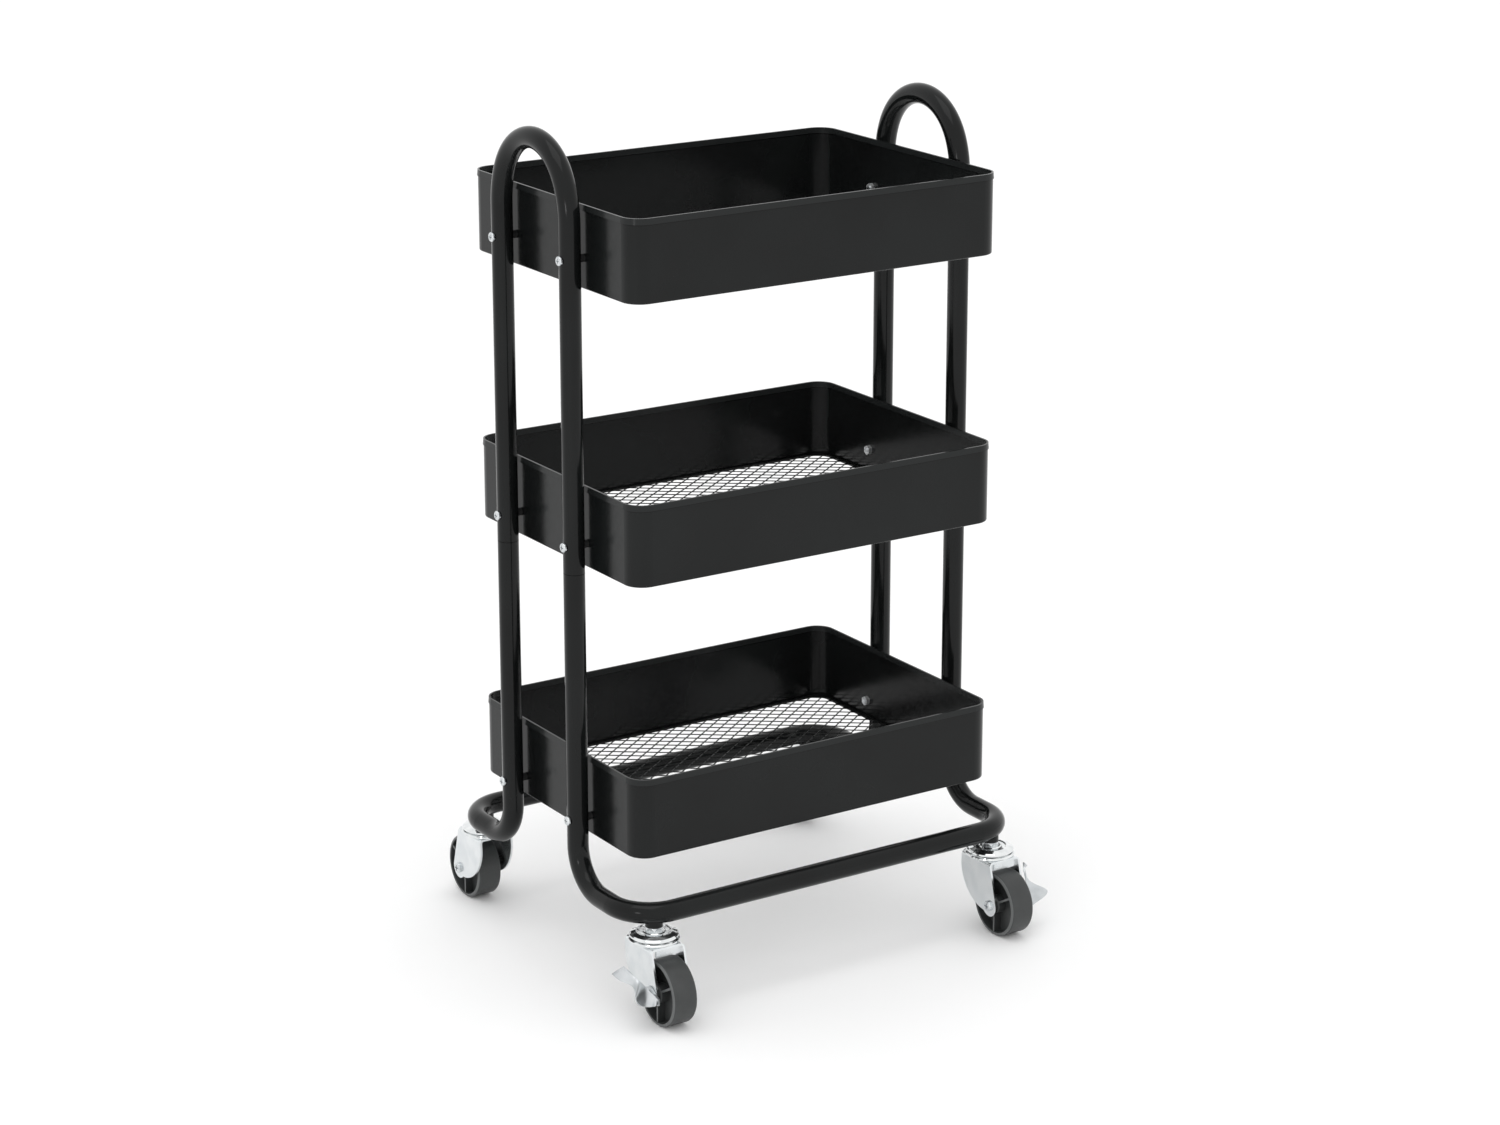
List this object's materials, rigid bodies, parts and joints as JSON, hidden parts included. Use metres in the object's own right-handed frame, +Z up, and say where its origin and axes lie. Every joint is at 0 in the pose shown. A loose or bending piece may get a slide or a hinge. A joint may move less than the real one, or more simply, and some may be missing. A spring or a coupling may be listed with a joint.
{
  "type": "wire shelf cart",
  "caption": "Rolling utility cart: stacked sheet-steel baskets with diamond-mesh floors between arched tube end frames, on swivel casters with brake levers.",
  "frame": {"origin": "on the floor under the middle of the cart", "axes": "+X along the baskets to the right-hand end, +Y to the back, +Z up; the braked casters are at the front (-Y)"},
  "size_m": [0.4618, 0.4162, 0.7815],
  "materials": {
    "powder_black": "semi-gloss black powder coat",
    "mesh_black": "black powder coat on expanded sheet",
    "screw_zinc": "bright zinc plate",
    "caster_chrome": "bright chrome plate",
    "caster_zinc": "bright zinc plate",
    "wheel_grey": "moulded dark grey, satin tread",
    "steel_plain": "plain turned steel",
    "spacer_black": "moulded black"
  },
  "bodies": {
    "cart": {"left_handle_frame": "powder_black", "right_handle_frame": "powder_black", "front_base_frame": "powder_black", "rear_base_frame": "powder_black", "joint_sleeves": "steel_plain", "top_basket": "powder_black", "top_mesh_floor": "mesh_black", "middle_basket": "powder_black", "middle_mesh_floor": "mesh_black", "bottom_basket": "powder_black", "bottom_mesh_floor": "mesh_black", "basket_screws": "screw_zinc", "basket_nuts": "screw_zinc", "basket_spacers": "spacer_black", "front_left_socket": "powder_black", "front_left_stem": "caster_zinc", "front_left_top_race": "caster_chrome", "front_right_socket": "powder_black", "front_right_stem": "caster_zinc", "front_right_top_race": "caster_chrome", "rear_left_socket": "powder_black", "rear_left_stem": "caster_zinc", "rear_left_top_race": "caster_chrome", "rear_right_socket": "powder_black", "rear_right_stem": "caster_zinc", "rear_right_top_race": "caster_chrome"},
    "front_left_swivel": {"front_left_fork": "caster_zinc", "front_left_lower_race": "caster_chrome", "front_left_axle_bolt": "screw_zinc", "front_left_axle_nut": "screw_zinc"},
    "front_left_wheel_body": {"front_left_wheel": "wheel_grey", "front_left_bush": "steel_plain"},
    "front_left_brake": {"front_left_brake_lever": "caster_zinc"},
    "front_right_swivel": {"front_right_fork": "caster_zinc", "front_right_lower_race": "caster_chrome", "front_right_axle_bolt": "screw_zinc", "front_right_axle_nut": "screw_zinc"},
    "front_right_wheel_body": {"front_right_wheel": "wheel_grey", "front_right_bush": "steel_plain"},
    "front_right_brake": {"front_right_brake_lever": "caster_zinc"},
    "rear_left_swivel": {"rear_left_fork": "caster_zinc", "rear_left_lower_race": "caster_chrome", "rear_left_axle_bolt": "screw_zinc", "rear_left_axle_nut": "screw_zinc"},
    "rear_left_wheel_body": {"rear_left_wheel": "wheel_grey", "rear_left_bush": "steel_plain"},
    "rear_right_swivel": {"rear_right_fork": "caster_zinc", "rear_right_lower_race": "caster_chrome", "rear_right_axle_bolt": "screw_zinc", "rear_right_axle_nut": "screw_zinc"},
    "rear_right_wheel_body": {"rear_right_wheel": "wheel_grey", "rear_right_bush": "steel_plain"}
  },
  "joints": [
    {"name": "front_left_swivel_turn", "type": "hinge", "parent": "cart", "child": "front_left_swivel", "pos_m": [-0.18607, -0.15458, 0.0725], "axis": [0, 0, 1], "continuous": true},
    {"name": "front_left_wheel_spin", "type": "hinge", "parent": "front_left_swivel", "child": "front_left_wheel_body", "pos_m": [-0.18607, -0.17768, 0.0304], "axis": [1, 0, 0], "continuous": true},
    {"name": "front_left_brake_turn", "type": "hinge", "parent": "front_left_swivel", "child": "front_left_brake", "pos_m": [-0.18607, -0.17768, 0.0304], "axis": [1, 0, 0], "range_deg": [0, 22]},
    {"name": "front_right_swivel_turn", "type": "hinge", "parent": "cart", "child": "front_right_swivel", "pos_m": [0.18607, -0.15458, 0.0725], "axis": [0, 0, 1], "continuous": true},
    {"name": "front_right_wheel_spin", "type": "hinge", "parent": "front_right_swivel", "child": "front_right_wheel_body", "pos_m": [0.18607, -0.17768, 0.0304], "axis": [1, 0, 0], "continuous": true},
    {"name": "front_right_brake_turn", "type": "hinge", "parent": "front_right_swivel", "child": "front_right_brake", "pos_m": [0.18607, -0.17768, 0.0304], "axis": [1, 0, 0], "range_deg": [0, 22]},
    {"name": "rear_left_swivel_turn", "type": "hinge", "parent": "cart", "child": "rear_left_swivel", "pos_m": [-0.18607, 0.15458, 0.0725], "axis": [0, 0, 1], "continuous": true},
    {"name": "rear_left_wheel_spin", "type": "hinge", "parent": "rear_left_swivel", "child": "rear_left_wheel_body", "pos_m": [-0.18607, 0.17768, 0.0304], "axis": [1, 0, 0], "continuous": true},
    {"name": "rear_right_swivel_turn", "type": "hinge", "parent": "cart", "child": "rear_right_swivel", "pos_m": [0.18607, 0.15458, 0.0725], "axis": [0, 0, 1], "continuous": true},
    {"name": "rear_right_wheel_spin", "type": "hinge", "parent": "rear_right_swivel", "child": "rear_right_wheel_body", "pos_m": [0.18607, 0.17768, 0.0304], "axis": [1, 0, 0], "continuous": true}
  ]
}
